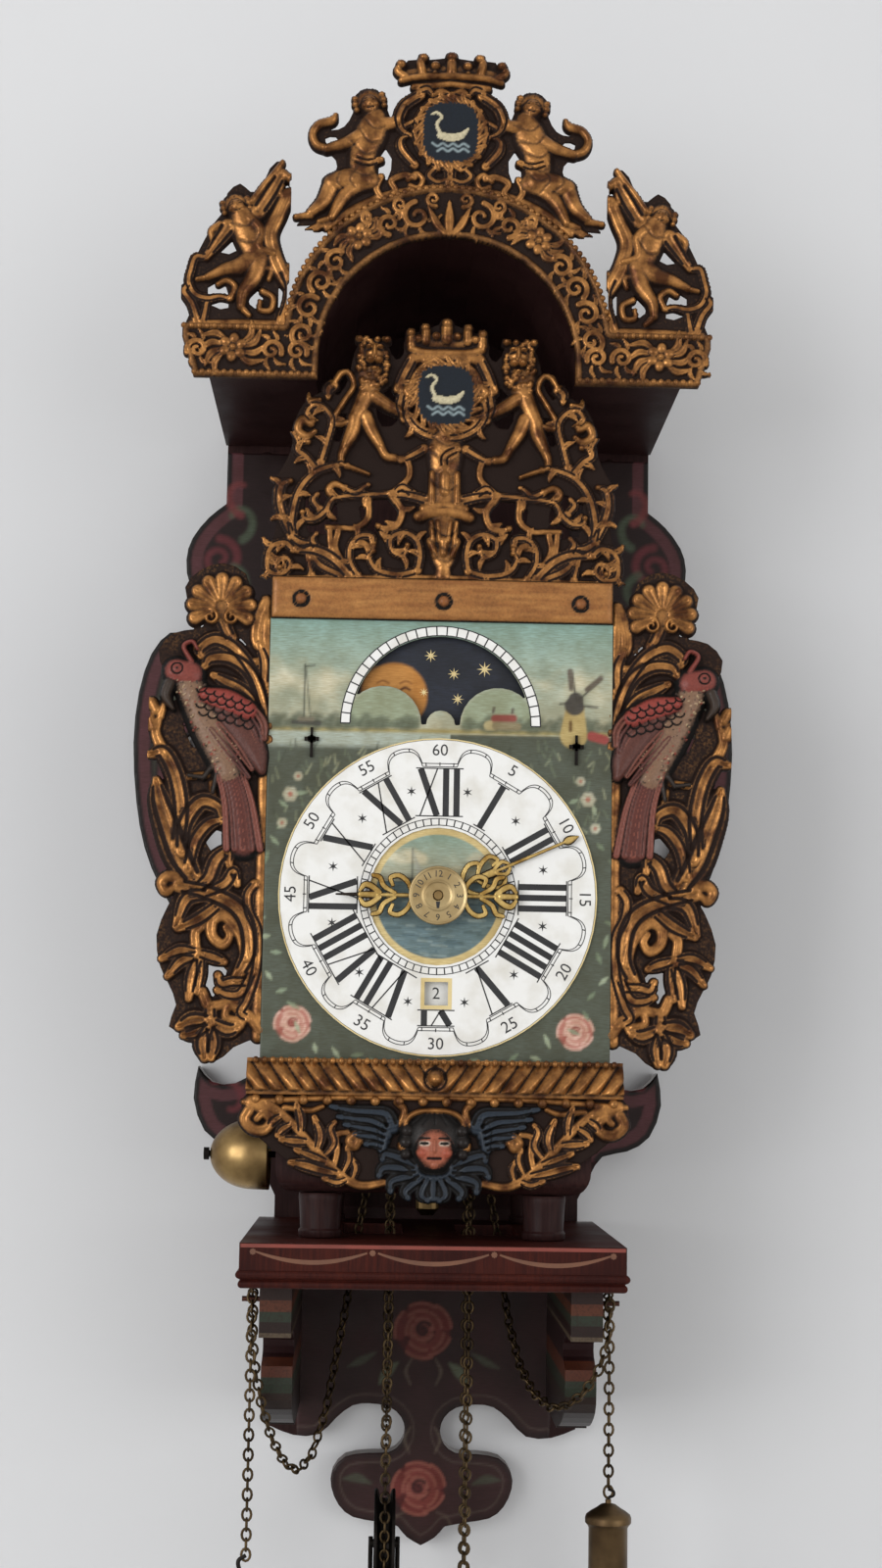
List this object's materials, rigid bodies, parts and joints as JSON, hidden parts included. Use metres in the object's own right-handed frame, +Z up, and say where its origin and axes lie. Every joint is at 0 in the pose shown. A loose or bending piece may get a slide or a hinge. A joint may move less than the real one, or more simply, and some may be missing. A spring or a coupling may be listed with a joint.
{
  "type": "chair clock",
  "caption": "Carved wall clock: painted movement on a stool and bracketed shelf under an arched hood, with gilded frets, moon dial, pendulum, bell, chains and weights.",
  "frame": {"origin": "on the wall face of the backboard, straight behind the hand arbor", "axes": "+X to the viewer's right, +Y into the wall, +Z up; the dial looks along -Y"},
  "size_m": [0.317, 0.182, 0.8833],
  "materials": {
    "painted_case": "brown-black oil paint, satin",
    "painted_shelf": "red-brown oil paint with painted lines, satin",
    "gilding": "cast and gilded, darkened with age",
    "dial_sheet": "painted sheet, satin",
    "dial_white": "white paint, satin",
    "clock_brass": "polished, slightly tarnished",
    "black_iron": "forged, blackened",
    "clock_steel": "filed",
    "chain_iron": "drawn wire links, dark bronze"
  },
  "bodies": {
    "case": {"backboard": "painted_case", "hood_body": "painted_case", "stool_seat": "painted_case", "stool_leg_front_left": "painted_case", "stool_leg_front_right": "painted_case", "stool_leg_rear_left": "painted_case", "stool_leg_rear_right": "painted_case", "shelf": "painted_shelf", "bracket_left": "painted_shelf", "bracket_right": "painted_shelf", "hood_front": "gilding", "hood_crest_centre": "gilding", "hood_crest_left": "gilding", "hood_crest_right": "gilding", "dial_crest": "gilding", "dial_side_left": "gilding", "dial_side_right": "gilding", "dial_cornice": "gilding", "dial_apron": "gilding", "dial_head_rail": "gilding", "dial_plate": "dial_sheet", "chapter_ring": "dial_white", "bell": "clock_brass", "front_bar": "clock_brass", "middle_bar": "clock_brass", "back_bar": "clock_brass", "alarm_chain_end": "clock_brass", "movement_bottom_plate": "black_iron", "movement_cage": "black_iron", "bell_post": "black_iron", "going_chain": "chain_iron", "strike_chain": "chain_iron", "weight_chain": "chain_iron", "ring_chain": "chain_iron", "alarm_chain": "chain_iron"},
    "left_door": {"side_door_left": "painted_case"},
    "right_door": {"side_door_right": "painted_case"},
    "going_great": {"going_great_wheel": "clock_brass"},
    "going_second": {"going_second_wheel": "clock_brass"},
    "escape": {"escape_wheel": "clock_brass"},
    "minute": {"minute_wheel": "clock_brass", "minute_hand": "clock_brass"},
    "hour": {"hour_wheel": "clock_brass", "hour_hand": "clock_brass"},
    "alarm_setting": {"alarm_disc": "clock_brass"},
    "strike_great": {"strike_great_wheel": "clock_brass"},
    "strike_second": {"strike_second_wheel": "clock_brass"},
    "fly": {"strike_fly": "clock_brass"},
    "moon": {"moon_disc": "dial_sheet"},
    "date": {"date_disc": "dial_white"},
    "swinging": {"anchor": "clock_steel", "pendulum": "clock_brass"},
    "bell_hammer": {"hammer": "clock_steel"},
    "driving_weight": {"main_weight": "clock_brass"},
    "pulley": {"main_pulley": "black_iron"},
    "ring": {"counter_ring": "black_iron"},
    "alarm_drive": {"alarm_wheel": "clock_brass"},
    "alarm_load": {"alarm_weight": "clock_brass", "alarm_drop_chain": "chain_iron"}
  },
  "joints": [
    {"name": "left_door_hinge", "type": "hinge", "parent": "case", "child": "left_door", "pos_m": [-0.07345, -0.0468, 0], "axis": [0, 0, -1], "range_deg": [0, 95]},
    {"name": "right_door_hinge", "type": "hinge", "parent": "case", "child": "right_door", "pos_m": [0.07345, -0.0468, 0], "axis": [0, 0, 1], "range_deg": [0, 95]},
    {"name": "going_wheel_spin", "type": "hinge", "parent": "case", "child": "going_great", "pos_m": [0, -0.1, -0.066], "axis": [0, 1, 0], "continuous": true},
    {"name": "going_second_spin", "type": "hinge", "parent": "case", "child": "going_second", "pos_m": [0, -0.1, -0.0255], "axis": [0, 1, 0], "continuous": true},
    {"name": "escape_wheel_spin", "type": "hinge", "parent": "case", "child": "escape", "pos_m": [0, -0.1, 0.0095], "axis": [0, 1, 0], "continuous": true},
    {"name": "minute_hand_turn", "type": "hinge", "parent": "case", "child": "minute", "pos_m": [0, -0.1, 0], "axis": [0, 1, 0], "continuous": true},
    {"name": "hour_hand_turn", "type": "hinge", "parent": "case", "child": "hour", "pos_m": [0, -0.1, 0], "axis": [0, 1, 0], "continuous": true},
    {"name": "alarm_disc_turn", "type": "hinge", "parent": "hour", "child": "alarm_setting", "pos_m": [0, -0.1, 0], "axis": [0, 1, 0], "continuous": true},
    {"name": "strike_wheel_spin", "type": "hinge", "parent": "case", "child": "strike_great", "pos_m": [0, -0.1, -0.066], "axis": [0, 1, 0], "continuous": true},
    {"name": "strike_second_spin", "type": "hinge", "parent": "case", "child": "strike_second", "pos_m": [0, -0.1, -0.0255], "axis": [0, 1, 0], "continuous": true},
    {"name": "strike_fly_spin", "type": "hinge", "parent": "case", "child": "fly", "pos_m": [0, -0.1, 0.0095], "axis": [0, 1, 0], "continuous": true},
    {"name": "moon_disc_turn", "type": "hinge", "parent": "case", "child": "moon", "pos_m": [0, -0.1, 0.0805], "axis": [0, 1, 0], "continuous": true},
    {"name": "date_disc_turn", "type": "hinge", "parent": "case", "child": "date", "pos_m": [0, -0.1, 0], "axis": [0, 1, 0], "continuous": true},
    {"name": "pendulum_swing", "type": "hinge", "parent": "case", "child": "swinging", "pos_m": [0, -0.08, 0.0375], "axis": [0, 1, 0], "range_deg": [-4, 4]},
    {"name": "hammer_lift", "type": "hinge", "parent": "case", "child": "bell_hammer", "pos_m": [-0.068, -0.09, -0.106], "axis": [0, 1, 0], "range_deg": [-14, 4], "stiffness_Nm_per_rad": 0.02, "springref_deg": 1.15},
    {"name": "main_weight_drop", "type": "slide", "parent": "case", "child": "driving_weight", "axis": [0, 0, 1], "range_m": [-0.12, 0.06], "deforming": ["weight_chain"]},
    {"name": "main_pulley_roll", "type": "hinge", "parent": "driving_weight", "child": "pulley", "pos_m": [-0.019, -0.089, -0.304], "axis": [1, 0, 0], "range_deg": [-150, 300]},
    {"name": "counter_ring_lift", "type": "slide", "parent": "case", "child": "ring", "axis": [0, 0, 1], "range_m": [-0.0601, 0.1201], "deforming": ["ring_chain"]},
    {"name": "alarm_wheel_spin", "type": "hinge", "parent": "case", "child": "alarm_drive", "pos_m": [0, -0.1, -0.093], "axis": [0, 1, 0], "continuous": true},
    {"name": "alarm_weight_swing", "type": "hinge", "parent": "case", "child": "alarm_load", "pos_m": [0.0812, -0.15, -0.1845], "axis": [0, 1, 0], "range_deg": [-6, 4]}
  ],
  "couplings": [
    {"joint": "going_second_spin", "follows": "going_wheel_spin", "ratio": -4},
    {"joint": "escape_wheel_spin", "follows": "going_wheel_spin", "ratio": 16},
    {"joint": "minute_hand_turn", "follows": "going_wheel_spin", "ratio": -1},
    {"joint": "hour_hand_turn", "follows": "going_wheel_spin", "ratio": -0.083333},
    {"joint": "strike_second_spin", "follows": "strike_wheel_spin", "ratio": -4},
    {"joint": "strike_fly_spin", "follows": "strike_wheel_spin", "ratio": 16},
    {"joint": "counter_ring_lift", "follows": "main_weight_drop", "ratio": -1},
    {"joint": "main_pulley_roll", "follows": "main_weight_drop", "rad_per_m": -43.478}
  ]
}
